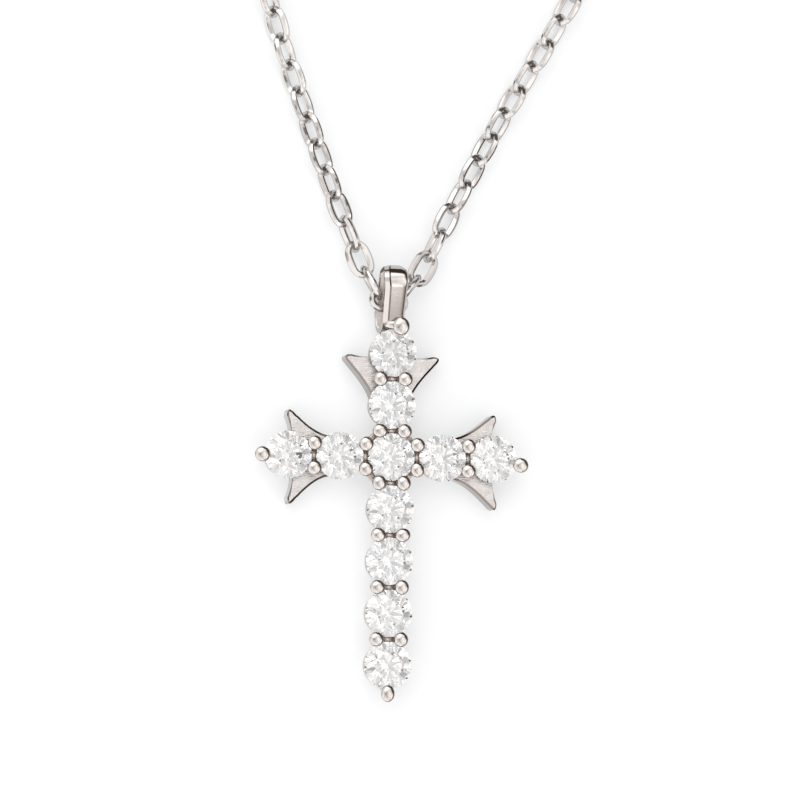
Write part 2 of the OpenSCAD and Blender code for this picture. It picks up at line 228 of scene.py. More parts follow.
class Finishes(bpy.types.PropertyGroup):
    """Colours and polish of the metal and the stones."""

    silver: tint("Silver", "Colour of the polished metal", (0.52, 0.494, 0.477))
    silver_deep: tint("Silver in the hollows", "Darker tone that varies the metal", (0.44, 0.41, 0.39))
    polish: share("Polish", "Roughness of the polished metal", 0.09)
    satin: share("Satin", "Roughness of the brushed horns", 0.3)
    stone: tint("Stone", "Tint of the clear stones", (0.625, 0.628, 0.628))


class StudioSetup(bpy.types.PropertyGroup):
    """The camera, the light and the surface."""

    tilt_left: angle("From the left", "How far the camera looks from the left", 9.54)
    tilt_below: angle("From below", "How far the camera looks from the foot of the cross", 3.03)
    lean: angle("Lean", "How far the picture is turned", 1.0)
    distance: length("Distance", "Distance of the camera from the stones", 230)
    aim_z: length("Aim height", "Height of the point that the camera turns about", 1.2)
    shot_right: length("Aim right", "How far right of the centre stone the camera aims", 0.367)
    shot_up: length("Aim up", "How far above the centre stone the camera aims", 2.38)
    lens: number("Lens", "Focal length in millimetres", 248.3)
    sky: number("Sky", "Strength of the soft light from all sides", 2.1)
    cloth: number("Cloth", "Fineness of the soft boxes' unevenness", 2.6)
    band_tilt: angle("Band tilt", "How far the dim band round the room is tipped", 11)
    band_way: angle("Band direction", "Where the dim band stands highest", 55)
    glow: number("Table glow", "Light of the table's own, from below", 0.54)
    floor: tint("Surface", "Colour of the surface", (0.37, 0.372, 0.374))


def mm(value):
    """A setting's value in millimetres."""
    return value / MM


# Meshes


def mesh_of(bm, name):
    """The mesh of a shape, whose own data is given up."""
    mesh = bpy.data.meshes.new(name)
    bm.to_mesh(mesh)
    bm.free()
    return mesh


def add_object(name, data):
    item = bpy.data.objects.new(name, data)
    bpy.context.scene.collection.objects.link(item)
    return item


def add_piece(bm, name, material, nodes, slot, crisp=radians(32)):
    """Turns a mesh made in millimetres into a piece that rides on the part and stands for its nodes.

    Its faces are smooth, with an edge kept crisp where two of them meet at more than the given angle.
    """
    bmesh.ops.recalc_face_normals(bm, faces=bm.faces)
    for face in bm.faces:
        face.smooth = True
    for edge in bm.edges:
        edge.smooth = len(edge.link_faces) == 2 and edge.calc_face_angle(pi) < crisp
    bmesh.ops.scale(bm, vec=(MM, MM, MM), verts=bm.verts)
    piece = add_object(name, mesh_of(bm, name))
    piece.data.materials.append(material)
    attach(piece, BODY)
    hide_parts(*nodes)
    return piece


def add_casting(bm, name, material, **options):
    """A piece of the silver casting that holds the stones."""
    return add_piece(bm, name, material, ["cross_setting"], "silver", **options)


def shape_mesh(build, *sizes):
    """A small mesh in millimetres, to be set many times."""
    bm = bmesh.new()
    build(bm, *sizes)
    bmesh.ops.recalc_face_normals(bm, faces=bm.faces)
    return mesh_of(bm, "shape")


def set_shape(bm, mesh, matrix):
    """Adds a copy of a small mesh, moved by the matrix."""
    copy = mesh.copy()
    copy.transform(matrix)
    bm.from_mesh(copy)
    bpy.data.meshes.remove(copy)


def at(x, y, z=0, turn=0):
    return Matrix.Translation((x, y, z)) @ Matrix.Rotation(turn, 4, "Z")


def spin_profile(bm, profile, steps):
    """Spins a closed outline of radius and height round the Z axis."""
    verts = [bm.verts.new((r, 0, z)) for r, z in profile]
    edges = [bm.edges.new((v, verts[i - 1])) for i, v in enumerate(verts)]
    bmesh.ops.spin(
        bm, geom=verts + edges, cent=(0, 0, 0), axis=(0, 0, 1), angle=2 * pi, steps=steps, use_merge=True
    )
    bmesh.ops.remove_doubles(bm, verts=bm.verts, dist=0.0001)


def bevelled_box(bm, size, edge):
    """A box that stands on the plane, centred on it, with its edges rounded."""
    bmesh.ops.create_cube(bm, size=1)
    bmesh.ops.scale(bm, vec=size, verts=bm.verts)
    bmesh.ops.translate(bm, vec=(0, 0, size[2] / 2), verts=bm.verts)
    bmesh.ops.bevel(
        bm, geom=bm.edges[:], offset=edge, offset_type="OFFSET", segments=2, profile=0.5, affect="EDGES",
        material=-1,
    )


def ball_shape(bm, bead_d, bead_z):
    """The ball of a prong, pressed down flatter than a sphere and flattest on top."""
    bmesh.ops.create_uvsphere(bm, u_segments=32, v_segments=20, radius=bead_d / 2)
    for v in bm.verts:
        v.co.z *= BALL_ABOVE if v.co.z > 0 else BALL_BELOW
        v.co.z += bead_z


def post_shape(bm, post_d, height):
    """The post under a ball, thinner at its foot."""
    foot_r = post_d * 0.3
    bmesh.ops.create_cone(
        bm, cap_ends=True, segments=24, radius1=foot_r, radius2=post_d / 2, depth=height,
        matrix=Matrix.Translation((0, 0, height / 2)),
    )


def lump_shape(bm, radius, top_z):
    """The small lump of metal left between two prongs."""
    oval = Matrix.Diagonal((0.8, 1.1, 1, 1))
    bmesh.ops.create_uvsphere(bm, u_segments=20, v_segments=12, radius=radius, matrix=at(0, 0, top_z) @ oval)


def cup_shape(bm, cup_r, rim_z, hole_r):
    """A cup with its light hole, its seat following the stone above it."""
    slope = PAVILION_H / STONE_R
    seat_z = STONE_LOW.z + hole_r * slope - SEAT_GAP
    rim_in = (rim_z - STONE_LOW.z + SEAT_GAP) / slope
    profile = [
        (hole_r, CUP_EDGE), (hole_r + CUP_EDGE, 0), (cup_r - CUP_EDGE, 0), (cup_r, CUP_EDGE),
        (cup_r, rim_z - CUP_EDGE), (cup_r - CUP_EDGE / 3, rim_z), (rim_in, rim_z), (hole_r, seat_z),
    ]
    spin_profile(bm, profile, 48)


def link_shape(bm, link_l, link_w, belly, wire_w, wire_h, sides, bend_steps, side_steps):
    """One oval link lying flat along X: a softly squared wire, set on its corner, bent twice and closed."""
    bend_r = (link_w - wire_w) / 2
    straight = link_l - link_w
    ring = bmesh.ops.create_circle(bm, segments=sides, radius=1)["verts"]
    squareness, drawn_in = 3.5, 0.93
    for v in ring:
        squared = drawn_in * (abs(v.co.x) ** squareness + abs(v.co.y) ** squareness) ** (-1 / squareness)
        corner = Matrix.Rotation(radians(45), 2) @ (v.co.xy * squared)
        v.co = Vector((straight / 2, bend_r + corner.x * wire_w / 2, corner.y * wire_h / 2))
    loop = ring + bm.edges[:]
    for side in (1, -1):
        bend = bmesh.ops.spin(
            bm, geom=loop, cent=(side * straight / 2, 0, 0), axis=(0, 0, 1), angle=-pi, steps=bend_steps
        )["geom_last"]
        edges = [g for g in bend if isinstance(g, bmesh.types.BMEdge)]
        for _ in range(side_steps):
            out = bmesh.ops.extrude_edge_only(bm, edges=edges)["geom"]
            last = [g for g in out if isinstance(g, bmesh.types.BMVert)]
            edges = [g for g in out if isinstance(g, bmesh.types.BMEdge) and all(v in last for v in g.verts)]
            bmesh.ops.translate(bm, vec=(-side * straight / side_steps, 0, 0), verts=last)
        loop = last + edges
    bmesh.ops.remove_doubles(bm, verts=bm.verts, dist=0.001)
    for v in bm.verts:
        middle = max(0, 1 - (2 * v.co.x / link_l) ** 2) ** 2
        v.co.y += belly * middle * max(-1, min(1, v.co.y / bend_r))


def arc(middle, radius, first, last, count):
    """Points on an arc, evenly from its first angle to its last."""
    turns = (first + (last - first) * i / (count - 1) for i in range(count))
    return [middle + radius * Vector((cos(a), sin(a))) for a in turns]


def horn_outline(sizes, steps, back, root_out, hollow, lean, shift):
    """The outline of the horn beside an arm that runs along X, from its root round its tip.

    It comes in three parts: the hollow side with the tip, the end edge, and the edge inside the cups.
    """
    last = Vector((steps * PITCH, 0))
    before = Vector(((steps - 1) * PITCH, 0))
    tip = Vector((last.x - back, mm(sizes.horn_span) / 2)) + Vector(shift)
    root = Vector((last.x - back - mm(sizes.horn_run), root_out))
    blunt = mm(sizes.horn_blunt)
    # The hollow side leaves the arm almost along it and rises more and more steeply to the tip.
    side_steps = 16
    curve = [
        Vector((root.x + (tip.x - root.x) * t, root.y + (tip.y - root.y) * t**hollow))
        for t in (i / side_steps for i in range(side_steps))
    ]
    # The end edge is a shallow hollow too, drawn back from the tip to the cup.
    end_steps = 8
    cup_in = mm(sizes.cup_r) - HORN_IN_WALL
    low = sqrt(max(0.01, cup_in**2 - (tip.x - lean - last.x) ** 2))
    high = tip.y - blunt
    end = [
        Vector((
            tip.x - lean * i / end_steps - HORN_END_HOLLOW * sin(pi * i / end_steps),
            high - (high - low) * i / end_steps,
        ))
        for i in range(end_steps + 1)
    ]
    # Inwards the horn stops inside the walls of the two cups that it grows from.
    last_turn, next_turn = radians(150), radians(30)
    first_turn = atan2(end[-1].y, end[-1].x - last.x)
    low_root = asin(min(1, (root.y - mm(sizes.horn_edge) - HORN_ROOT_GAP) / cup_in))
    root_turn = min(acos(max(-1, min(1, (root.x - before.x) / cup_in))), low_root)
    inner = arc(last, cup_in, first_turn, last_turn, 5)[1:]
    inner += arc(before, cup_in, next_turn, root_turn, 3)
    # The tip is a small round between the hollow side and the end edge.
    side_way = (curve[-1] - tip).normalized()
    hollow_side = [p for p in curve if (p - tip).length > blunt * 1.4]
    start, stop = tip + side_way * blunt * 1.2, end[0]
    nose = [start * (1 - t) ** 2 + tip * 2 * t * (1 - t) + stop * t**2 for t in (0, 0.2, 0.4, 0.6, 0.8)]
    return hollow_side + nose, end, inner


def lid_outline(hollow_side, end, inner, edge):
    """The outline of a horn's face: drawn in by the bevel's width, and by less where the horn is narrow.

    The bevel is also narrower on the end edge, and there is none inside the cups.
    """
    narrowing, narrowing_steps, most_of_room = 0.7, 4, 0.4
    outline = hollow_side + end + inner
    lid = []
    for i, p in enumerate(hollow_side + end):
        along = outline[i + 1] - outline[max(0, i - 1)]
        across = Vector((along.y, -along.x)).normalized()
        facing = end if i < len(hollow_side) else hollow_side
        room = min((p - q).length for q in facing)
        on_end = min(1, max(0, (i - len(hollow_side)) / narrowing_steps))
        lid.append(p + across * min(edge * (1 - narrowing * on_end), most_of_room * room))
    return lid + inner


def horn_shape(bm, outline, lid, thickness, edge):
    """A flat horn with a bevel round its face."""
    face = bm.faces.new([bm.verts.new((p.x, p.y, 0)) for p in outline])
    drawn_in = {(round(p.x, 4), round(p.y, 4)): q for p, q in zip(outline, lid)}
    bevel_h = edge * BEVEL_RISE
    for rise, narrower in ((thickness - bevel_h, False), (bevel_h, True)):
        raised = bmesh.ops.extrude_face_region(bm, geom=[face])["geom"]
        face = next(g for g in raised if isinstance(g, bmesh.types.BMFace))
        for v in face.verts:
            if narrower:
                spot = drawn_in[(round(v.co.x, 4), round(v.co.y, 4))]
                v.co = Vector((spot.x, spot.y, v.co.z))
            v.co.z += rise


def bail_outline(sizes, count):
    """The loop of the bail from the side: the hull of a circle at its top and one at its foot."""
    top_r, foot_r = mm(sizes.bail_crown_r), mm(sizes.bail_foot_depth) / 2
    top = Vector((BAIL_TOP_Y - top_r, mm(sizes.bail_depth) - top_r))
    foot = Vector((STEPS["up"] * PITCH + STONE_R + mm(sizes.bail_foot_out), foot_r))
    points = []
    for i in range(count):
        way = Vector((cos(2 * pi * (i + 0.5) / count), sin(2 * pi * (i + 0.5) / count)))
        points.append(max(top + top_r * way, foot + foot_r * way, key=way.dot))
    return points, foot.x, top.x


def strap_section(thick, edge):
    """The section of the bail's strap, from its left side round its face, its right side and its inside.

    Each point is a side, a distance in from that side's edge and a depth below the strap's face.
    """
    groove_w, groove_h = GROOVE
    round_w, round_h = RIGHT_ROUND
    return (
        (-1, 0, thick - STRAP_CORNER), (-1, 0, edge * BEVEL_DEPTH),
        (-1, edge, 0.005), (-1, edge + groove_w / 3, groove_h), (-1, edge + groove_w, 0), (0, 0, 0),
        *((1, round_w * (1 - sin(a)), round_h * (1 - cos(a))) for a in (radians(15 * k) for k in range(7))),
        (1, 0, thick - STRAP_CORNER), (1, STRAP_CORNER, thick), (-1, STRAP_CORNER, thick),
    )


def build_bail(bm, sizes):
    """The tapered strap of the bail, drawn out across point by point of its section.

    The strap has a wide bevel on its left, a fine groove beside it and a small round on its right.
    """
    outline, foot_y, top_y = bail_outline(sizes, 144)
    count = len(outline)
    inward = []
    for i, p in enumerate(outline):
        along = outline[(i + 1) % count] - outline[i - 1]
        inward.append(Vector((-along.y, along.x)).normalized())
    edge = mm(sizes.bail_edge)
    section = strap_section(mm(sizes.bail_t), edge)

    def set_loop(verts, point):
        side, in_by, depth = point
        for v, p, way in zip(verts, outline, inward):
            along = min(1, max(0, (p.x - foot_y) / (top_y - foot_y)))
            half = (mm(sizes.bail_foot_w) + (mm(sizes.bail_w) - mm(sizes.bail_foot_w)) * along) / 2
            # The strap draws in round its crown, and the back of the loop is wider on the left.
            over = max(0, p.x - (BAIL_TOP_Y - CROWN_RUN)) / CROWN_RUN
            if side == 1:
                half -= CROWN_RIGHT * over**2
            elif side == -1:
                half += BACK_WIDER * max(0, 1 - p.y / BACK_TOP) - CROWN_LEFT * over**2
            # The groove beside the bevel opens towards the foot.
            in_here = in_by + (GROOVE_OPENS * (1 - along) if in_by > edge + GROOVE[0] / 2 else 0)
            x = side * (half - in_here) + FOOT_SHIFT - TOP_SHIFT * along
            v.co = (x, p.x + way.x * depth, p.y + way.y * depth)

    verts = [bm.verts.new((0, p.x, p.y)) for p in outline]
    edges = [bm.edges.new((v, verts[i - 1])) for i, v in enumerate(verts)]
    set_loop(verts, section[0])
    for point in section[1:] + section[:1]:
        drawn = bmesh.ops.extrude_edge_only(bm, edges=edges)["geom"]
        fresh = {g for g in drawn if isinstance(g, bmesh.types.BMVert)}
        verts = [next(e.other_vert(v) for e in v.link_edges if e.other_vert(v) in fresh) for v in verts]
        edges = [e for e in drawn if isinstance(e, bmesh.types.BMEdge) and set(e.verts) <= fresh]
        set_loop(verts, point)
    bmesh.ops.remove_doubles(bm, verts=bm.verts, dist=0.0005)
    # The soft collar where the foot runs out onto the setting.
    collar_place = at(0.04, foot_y - 0.2, mm(sizes.bail_foot_depth) - 0.12)
    collar_size = Matrix.Diagonal((1.25, 0.85, 0.72, 1))
    bmesh.ops.create_uvsphere(
        bm, u_segments=24, v_segments=14, radius=0.34, matrix=collar_place @ collar_size
    )


# The chain's route, as the frame holds it: see the notes on each table.

# The link in the bail: x, y from the bail's top, heading.
THROUGH = (-0.18, -1.44, -12)
# The four links next to it on each side: heading, climb and roll. Then the roll of most of the others.
LEFT_HOOKS = ((118.5, -12, 90), (111, -8, 8), (113, -4, 107), (112, -2, 26))
RIGHT_HOOKS = ((52, -12, 90), (61, -8, 8), (65, -4, 107), (64, -2, 27))
LINK_ROLL = 45
# Rows near the bail: x, y from the bail's top, roll. Far rows: shares of the loop's width and length.
NEAR_RIGHT = ((4.4, 6.1, 42), (7.1, 10.8, LINK_ROLL), (14, 23, LINK_ROLL))
FAR_SHARES = (
    (0.258, 0.235), (0.376, 0.347), (0.495, 0.471), (0.591, 0.6), (0.624, 0.724), (0.581, 0.841),
    (0.462, 0.935), (0.29, 0.988), (0.097, 1), (-0.097, 0.971), (-0.258, 0.9), (-0.349, 0.8),
    (-0.376, 0.682), (-0.344, 0.559), (-0.28, 0.429), (-0.204, 0.3), (-0.134, 0.188),
)
NEAR_LEFT = ((-8, 19, LINK_ROLL), (-5.3, 10.8, LINK_ROLL), (-4.4, 8.1, 42), (-3.05, 4.4, 35))
# Steps of the smooth curve between two rows.
ROUTE_STEPS = 8
# Height of the underside of the link in the bail, which rests on the strap with a little play.
THROUGH_LOW = 0.485
# Links over which the roll turns to what the clasp's end needs.
ROLL_STEPS = 16
# Links on each side of the bail that are made finely, and for the fine and the plain ones: sides of the
# wire, steps round each bend and steps along each side.
FINE_LINKS = 22
FINE_STEPS = (12, 9, 5)
PLAIN_STEPS = (6, 4, 1)


def ahead(turn, climb):
    turn, climb = radians(turn), radians(climb)
    return Vector((cos(turn) * cos(climb), sin(turn) * cos(climb), sin(climb)))


def hooked(sizes, hooks, start, turn, climb):
    """Places of the links next to the bail, each hooked into the one before it."""
    bend_out = (mm(sizes.frame_link) - mm(sizes.link_w)) / 2
    end_out = (mm(sizes.frame_link) - mm(sizes.frame_wire)) / 2
    places, here, standing = [], start, True
    for next_turn, next_climb, roll in hooks:
        near, far = (bend_out, end_out) if standing else (end_out, bend_out)
        back, on = ahead(turn, climb), ahead(next_turn, next_climb)
        here = here + Vector(
            (near * back.x + far * on.x, near * back.y + far * on.y, far * back.z + near * on.z)
        )
        places.append((here.copy(), next_turn, next_climb, roll))
        turn, climb, standing = next_turn, next_climb, not standing
    return places


def curve_point(a, b, c, d, t):
    """A point between b and c on the smooth curve through a, b, c and d."""
    return [
        (2 * q + (r - p) * t + (2 * p - 5 * q + 4 * r - s) * t * t + (3 * q - p - 3 * r + s) * t**3) / 2
        for p, q, r, s in zip(a, b, c, d)
    ]


class Route:
    """The chain's way round on the surface, from the right of the bail to its left."""

    def __init__(self, rows):
        last = len(rows) - 1

        def row(i):
            return rows[max(0, min(last, i))]

        self.points = [
            curve_point(row(i - 1), row(i), row(i + 1), row(i + 2), k / ROUTE_STEPS)
            for i in range(last)
            for k in range(ROUTE_STEPS)
        ] + [list(rows[last])]
        self.runs = [0]
        for p, q in zip(self.points, self.points[1:]):
            self.runs.append(self.runs[-1] + hypot(q[0] - p[0], q[1] - p[1]))

    @property
    def length(self):
        return self.runs[-1]

    def row(self, run):
        """x, y and roll at a run along the route."""
        run = min(max(run, 0), self.length)
        i = next((k for k, r in enumerate(self.runs) if r >= run), len(self.runs) - 1)
        if i == 0:
            return self.points[0]
        t = (run - self.runs[i - 1]) / (self.runs[i] - self.runs[i - 1])
        return [p + (q - p) * t for p, q in zip(self.points[i - 1], self.points[i])]

    def heading(self, run, step):
        """The route's direction over a step about a run, in degrees."""
        a, b = self.row(run - step / 2), self.row(run + step / 2)
        return degrees(atan2(b[1] - a[1], b[0] - a[0]))


# The clasp as the frame holds it: half-way round, its ring, eye and jump ring.
CLASP_SHARE = 0.5
CLASP_D = 5.4
CLASP_T = 1
EYE_D = 1.5
EYE_T = 0.36
JUMP_D = 2.8
JUMP_T = 0.4
# Slope of the last link where it hangs in the jump ring, in degrees, how much closer to it the link before
# it lies, and how far that one stays clear of the surface.
JUMP_SLOPE = 25
CLOSER = 0.96
LIFT = 0.01


def from_bail(rows):
    return [[x, y + BAIL_TOP_Y, roll] for x, y, roll in rows]


def end_row(places):
    place, _, _, roll = places[-1]
    return [place.x, place.y, roll]


def lay_links(sizes):
    """All links as (place, heading, climb, roll): those at the bail, then each half of the rest."""
    pitch, wire_w = mm(sizes.pitch), mm(sizes.wire_w)
    side_r = (mm(sizes.link_w) - wire_w) / 2 + mm(sizes.belly)
    half_wire = mm(sizes.wire_h) / 2
    link_half = (pitch + wire_w) / 2

    x, y, turn = THROUGH
    through = Vector((x, BAIL_TOP_Y + y, THROUGH_LOW + mm(sizes.link_w) / 2))
    left = hooked(sizes, LEFT_HOOKS, through, turn + 180, 0)
    right = hooked(sizes, RIGHT_HOOKS, through, turn, 0)
    far = [[p * mm(sizes.loop_w), q * mm(sizes.loop_l) + BAIL_TOP_Y, LINK_ROLL] for p, q in FAR_SHARES]
    route = Route([end_row(right)] + from_bail(NEAR_RIGHT) + far + from_bail(NEAR_LEFT) + [end_row(left)])

    def leg(first, last, count, way, end_roll):
        """Links along the route; over the last ones the roll turns to what the clasp's end needs."""
        links = []
        for i in range(1, count + 1):
            run = first + (last - first) * i / count
            px, py, roll = route.row(run)
            roll += (end_roll - roll) * min(1, max(0, (i - count + ROLL_STEPS) / ROLL_STEPS))
            height = side_r * max(abs(sin(radians(roll))), abs(cos(radians(roll)))) + half_wire
            links.append((Vector((px, py, height)), route.heading(run, pitch), 0, way * roll + 90 * (i % 2)))
        return links

    # The right half ends in the jump ring, which stands on edge; its last link hangs in it, sloping.
    clasp_run = CLASP_SHARE * route.length
    clasp_x, clasp_y, _ = route.row(clasp_run)
    clasp_turn = radians(route.heading(clasp_run, pitch))
    along = Vector((cos(clasp_turn), sin(clasp_turn), 0))
    ring_out = (CLASP_D - CLASP_T) / 2
    jump_middle = Vector((clasp_x, clasp_y, 0)) - along * ring_out + Vector((0, 0, JUMP_D / 2))
    slope = radians(JUMP_SLOPE)
    out = -along * cos(slope) - Vector((0, 0, sin(slope)))
    grip = JUMP_D / 2 - JUMP_T - wire_w / 2
    hung = jump_middle + out * (grip + link_half)
    hung_run = clasp_run - ring_out - (grip + link_half) * cos(slope)
    # The link before it lies on the surface and climbs to the hanging link's end.
    second_run = hung_run - pitch * CLOSER
    second_x, second_y, _ = route.row(second_run)
    second = Vector((second_x, second_y, side_r + half_wire + LIFT))
    hung_end = jump_middle + out * (grip + 2 * link_half - wire_w)
    second_climb = degrees(asin((hung_end.z - second.z) / link_half)) / 2
    # The last link before these lies flat where the count is even, so that the next one stands.
    count = round((second_run - pitch) / pitch)
    right_leg = leg(0, second_run - pitch, count, 1, 0 if count % 2 == 0 else 90)
    right_leg += [
        (second, route.heading(second_run, pitch), second_climb, 90),
        (hung, degrees(clasp_turn), JUMP_SLOPE, 0),
    ]

    # The left half ends in the clasp's eye, which lies flat; its last link stands in it.
    eye_run = clasp_run + CLASP_D / 2 + EYE_D - 1.5 * EYE_T - wire_w / 2 + link_half
    count = round((route.length - eye_run) / pitch)
    left_leg = leg(route.length, eye_run, count, -1, 90 if count % 2 == 0 else 0)

    return [(through, turn, 0, 0)] + left + right, right_leg, left_leg


def link_matrix(place, turn, climb, roll):
    return Matrix.Translation(place) @ (
        Matrix.Rotation(radians(turn), 4, "Z")
        @ Matrix.Rotation(-radians(climb), 4, "Y")
        @ Matrix.Rotation(radians(roll), 4, "X")
    )


# Materials


class NodeTree:
    """The nodes of a finish or of the light."""

    def __init__(self, owner):
        owner.use_nodes = True
        self.owner, self.nodes, self.links = owner, owner.node_tree.nodes, owner.node_tree.links
        self.nodes.clear()

    def add(self, kind, inputs=None, **options):
        """A new node; each input is given a value or another node's output."""
        node = self.nodes.new("ShaderNode" + kind)
        for name, value in options.items():
            setattr(node, name, value)
        for name, value in (inputs or {}).items():
            if isinstance(value, bpy.types.NodeSocket):
                self.links.new(value, node.inputs[name])
            else:
                node.inputs[name].default_value = value
        return node

    def noise(self, scale, detail=2.0, stretch=(1, 1, 1)):
        """Noise on the piece's own coordinates; scale is the number of features per millimetre."""
        place = self.add("TexCoord").outputs["Object"]
        fine = self.add("Mapping", {"Vector": place, "Scale": [s * scale / MM for s in stretch]})
        return self.add("TexNoise", {"Vector": fine.outputs[0], "Scale": 1, "Detail": detail}).outputs["Fac"]

    def spread(self, source, low, high, from_low=0.3, from_high=0.7, **options):
        """The source drawn out between two values."""
        ends = {"From Min": from_low, "From Max": from_high, "To Min": low, "To Max": high}
        return self.add("MapRange", {"Value": source, **ends}, **options).outputs[0]

    def mix(self, source, first, second):
        """A blend of two colours, the first of which may be another node's output."""
        if not isinstance(first, bpy.types.NodeSocket):
            first = (*first, 1)
        return self.add("Mix", {0: source, 6: first, 7: (*second, 1)}, data_type="RGBA").outputs[2]

    def along(self, source, way):
        """How far the source points along a direction."""
        return self.add("VectorMath", {0: source, 1: way}, operation="DOT_PRODUCT").outputs["Value"]

    def bump(self, source, strength, depth):
        """Fine relief; depth in millimetres."""
        return self.add("Bump", {"Height": source, "Strength": strength, "Distance": depth * MM}).outputs[0]

    def finish(self, inputs):
        """The finished material, its shader with the given inputs."""
        shader = self.add("BsdfPrincipled", inputs)
        self.add("OutputMaterial", {"Surface": shader.outputs[0]})
        return self.owner


def new_finish(name):
    return NodeTree(bpy.data.materials.new(name))


def shaded(colour, shade):
    return [channel * share for channel, share in zip(colour, shade)]


def darker(colour, share):
    return [channel * share for channel in colour]


def polished_silver(finishes, name, patch=1.2, relief=0.004, rough=1.0, metallic=1.0, shade=(1, 1, 1)):
    """Bright polished silver: faint warm patches, uneven polish and a fine buffed relief."""
    tree = new_finish(name)
    bright, deep = shaded(finishes.silver, shade), shaded(finishes.silver_deep, shade)
    polish = finishes.polish * rough
    return tree.finish({
        "Metallic": metallic,
        "Base Color": tree.mix(tree.spread(tree.noise(patch, 3), 0, 0.6), bright, deep),
        "Roughness": tree.spread(tree.noise(patch * 3, 4), polish * 0.6, polish * 1.7),
        "Normal": tree.bump(tree.noise(5, 3), 0.35, relief),
    })


def satin_silver(finishes, name):
    """Brushed silver of the horns' faces: fine lines along X over a soft sheen."""
    tree = new_finish(name)
    whiter = (1, 1.01, 1.03)
    bright, deep = shaded(finishes.silver, whiter), shaded(finishes.silver_deep, whiter)
    lines = tree.noise(1, 4, stretch=(5, 17, 5))
    return tree.finish({
        "Metallic": 1,
        "Base Color": tree.mix(tree.spread(tree.noise(3, 4), 0, 1), bright, deep),
        "Roughness": tree.spread(lines, finishes.satin * 0.8, finishes.satin * 1.25),
        "Normal": tree.bump(lines, 0.9, 0.032),
    })


def clear_stone(tone, name):
    """Clear cut stone that bends light strongly, with the faintest cloud of tone in it."""
    tree = new_finish(name)
    colour = tree.mix(tree.spread(tree.noise(2.5, 2), 0, 1), tone, darker(tone, 0.92))
    # Painted light: a few small patches of faint blue and of faint orange stand for the stone's fire, the
    # coloured flashes it throws.
    fire = tree.noise(2.6, 1)
    for low, high, flash in ((0.67, 0.71, (0.52, 0.58, 0.68)), (0.33, 0.29, (0.67, 0.615, 0.58))):
        colour = tree.mix(tree.spread(fire, 0, 1, low, high), colour, flash)
    return tree.finish({
        "Transmission Weight": 1,
        "IOR": 2.15,
        "Base Color": colour,
        "Roughness": tree.spread(tree.noise(4, 2), 0.02, 0.06),
    })


def white_surface(studio, name):
    """The plain pale surface, matt, with a trace of paper tooth.

    It is lit faintly from below, as a light table is, which keeps the shadows on it light.
    """
    tree = new_finish(name)
    tooth = tree.spread(tree.noise(0.4, 4), 0, 1)
    return tree.finish({
        "Base Color": tree.mix(tooth, studio.floor, darker(studio.floor, 0.985)),
        "Specular IOR Level": 0,
        "Emission Color": (0.975, 0.988, 1, 1),
        "Emission Strength": studio.glow,
        "Roughness": tree.spread(tree.noise(3, 2), 0.8, 1),
    })


def settings(context):
    scene = context.scene
    return scene.pendant_casting, scene.pendant_chain, scene.pendant_finishes, scene.pendant_studio


# Operators


class PENDANT_OT_cups(bpy.types.Operator):
    """Builds the cups under the stones, the bars between them and the bridges between the prongs"""

    bl_idname = "pendant.cups"
    bl_label = "Cups, bars and bridges"

    def execute(self, context):
        casting, _, finishes, _ = settings(context)
        rim_z, spread = mm(casting.rim_z), mm(casting.bead_spread)
        cup = shape_mesh(cup_shape, mm(casting.cup_r), rim_z, mm(casting.hole_r))
        bar = shape_mesh(bevelled_box, (PITCH, mm(casting.bar_w), mm(casting.bar_top)), BAR_EDGE)
        bridge = shape_mesh(bevelled_box, (mm(casting.cross_bar_t), spread, rim_z), BRIDGE_EDGE)
        lump = shape_mesh(lump_shape, LUMP_R, rim_z)
        web = shape_mesh(bevelled_box, WEB, BLOCK_EDGE)
        between = [
            at(*(way * (step + 0.5) * PITCH), 0, turn)
            for _, way, turn, steps in ARM_STEPS
            for step in range(steps)
        ]
        bm = bmesh.new()
        for seat in SEATS.values():
            set_shape(bm, cup, at(seat.x, seat.y))
        for place in between:
            set_shape(bm, bar, place @ Matrix.Diagonal((BAR_SHARE, 1, 1, 1)))
        cup_silver = polished_silver(finishes, "cup_silver", 1.5, 0.006, rough=4, metallic=0.3)
        add_casting(bm, "setting_cups", cup_silver)
        bm = bmesh.new()
        for place in between:
            set_shape(bm, bridge, place)
            set_shape(bm, lump, place)
        # Round the centre stone the neighbouring prongs of two arms are joined too.
        corner = (PITCH + spread) / 4 - WEB_IN
        for quarter in range(4):
            turned = at(0, 0, 0, quarter * pi / 2)
            set_shape(bm, web, turned @ at(corner, corner, rim_z - BLOCK_DROP, pi / 4))
        # The bridges and webs are duller than the polish, and their browner tone is painted shade between
        # the stones.
        dull_and_shaded = {"rough": 3, "metallic": 0.35, "shade": (1, 0.89, 0.81)}
        add_casting(bm, "prong_bridges", polished_silver(finishes, "bridge_painted_shade", 2.5, 0.01, **dull_and_shaded))
        return {"FINISHED"}


